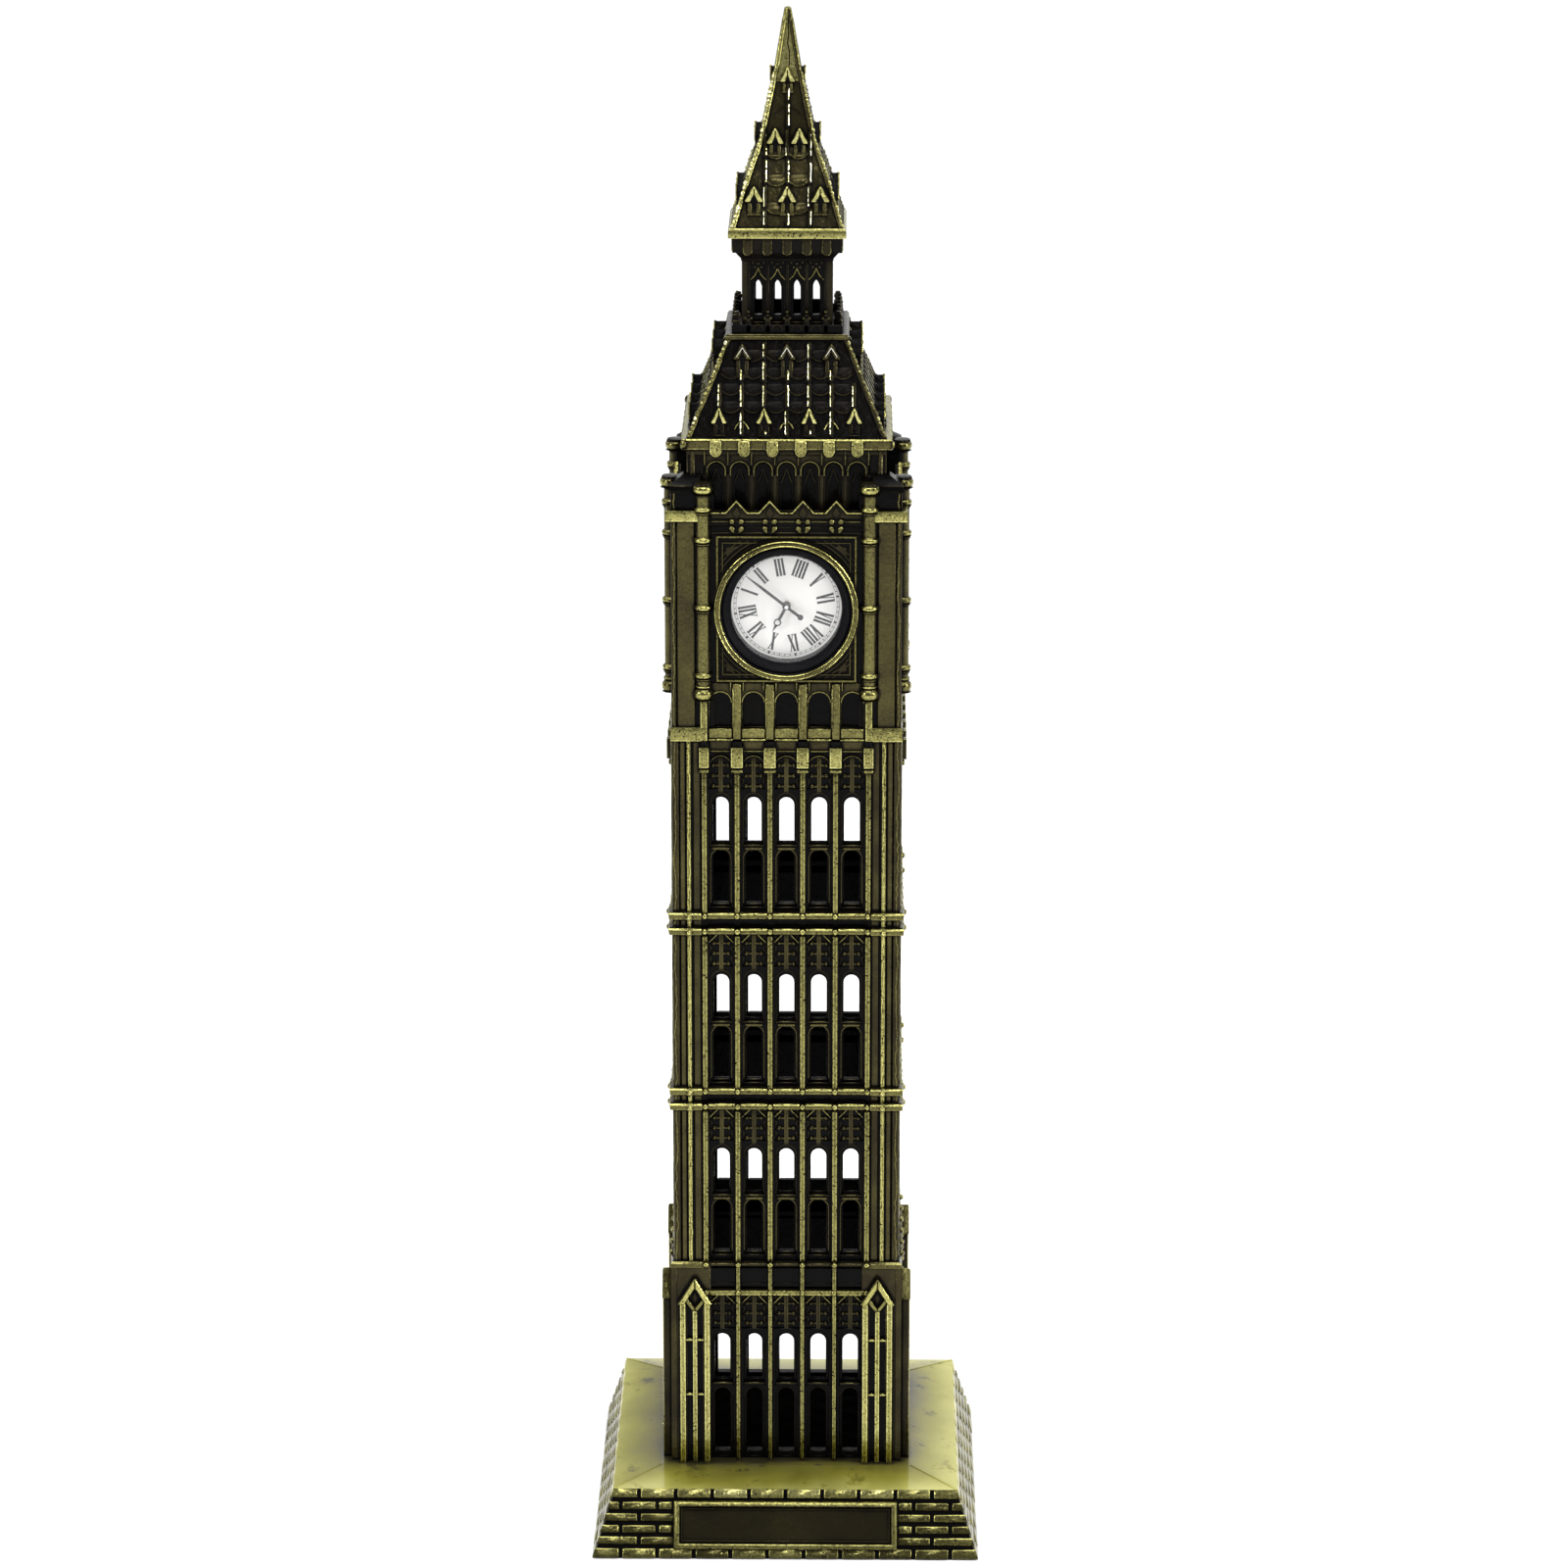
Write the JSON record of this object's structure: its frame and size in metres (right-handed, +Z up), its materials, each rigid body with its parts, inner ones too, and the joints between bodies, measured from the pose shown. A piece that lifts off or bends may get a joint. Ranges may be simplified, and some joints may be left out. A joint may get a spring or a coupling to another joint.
{
  "type": "miniature clock tower model",
  "caption": "Cast antique-brass model of a Gothic clock tower on a brick-sided plinth, with open windows, crocketed roofs and a pull-out battery clock in its front face.",
  "frame": {"origin": "centre of the plinth's underside, on the surface it stands on", "axes": "+Z up the tower, the front with the working clock faces -Y, +X to the viewer's right"},
  "size_m": [0.0634, 0.0634, 0.25],
  "materials": {
    "antique_brass": "cast, blackened in the recesses and wiped bright on the raised edges, clear lacquer",
    "felt": "dark green pressed felt",
    "zinc_steel": "zinc plated, satin",
    "black_plastic": "moulded, semi-matt",
    "clear_glass": "clear mineral glass",
    "dial_paper": "printed ivory white, satin",
    "movement_plastic": "moulded, natural",
    "gear_brass": "machined",
    "hand_black": "black lacquer",
    "polished_steel": "polished",
    "board_green": "solder resist",
    "copper_wire": "enamelled copper winding"
  },
  "bodies": {
    "tower": {"plinth": "antique_brass", "front_wall": "antique_brass", "right_wall": "antique_brass", "rear_wall": "antique_brass", "left_wall": "antique_brass", "belfry": "antique_brass", "lower_roof": "antique_brass", "lantern": "antique_brass", "spire": "antique_brass", "base_pad": "felt", "base_screws": "zinc_steel", "right_dial": "dial_paper", "rear_dial": "dial_paper", "left_dial": "dial_paper"},
    "clock_insert": {"insert_sleeve": "black_plastic", "crystal": "clear_glass", "clock_dial": "dial_paper", "movement_case": "black_plastic", "main_plate": "movement_plastic", "case_back": "zinc_steel", "button_cell": "polished_steel", "battery_clip": "polished_steel", "drive_unit": "movement_plastic", "circuit_board": "board_green", "coil": "copper_wire", "quartz_can": "polished_steel"},
    "minute_arbor": {"cannon_pinion": "gear_brass", "minute_hand": "hand_black", "hand_cap": "polished_steel"},
    "hour_arbor": {"hour_wheel": "gear_brass", "hour_hand": "hand_black"},
    "minute_wheel_arbor": {"minute_wheel": "gear_brass"},
    "setting_stem": {"setting_pinion": "gear_brass", "setting_knob": "black_plastic"}
  },
  "joints": [
    {"name": "insert_pull", "type": "slide", "parent": "tower", "child": "clock_insert", "axis": [0, -1, 0], "range_m": [0, 0.016]},
    {"name": "minute_spin", "type": "hinge", "parent": "clock_insert", "child": "minute_arbor", "pos_m": [0, -0.0135, 0.157], "axis": [0, 1, 0], "continuous": true},
    {"name": "hour_spin", "type": "hinge", "parent": "clock_insert", "child": "hour_arbor", "pos_m": [0, -0.0141, 0.157], "axis": [0, 1, 0], "continuous": true},
    {"name": "minute_wheel_spin", "type": "hinge", "parent": "clock_insert", "child": "minute_wheel_arbor", "pos_m": [0.003, -0.0135, 0.157], "axis": [0, 1, 0], "continuous": true},
    {"name": "setting_spin", "type": "hinge", "parent": "clock_insert", "child": "setting_stem", "pos_m": [0.006, -0.0135, 0.157], "axis": [0, 1, 0], "continuous": true}
  ],
  "couplings": [
    {"joint": "hour_spin", "follows": "minute_spin", "ratio": 0.083333},
    {"joint": "minute_wheel_spin", "follows": "minute_spin", "ratio": -0.33333},
    {"joint": "setting_spin", "follows": "minute_spin", "ratio": 1}
  ]
}
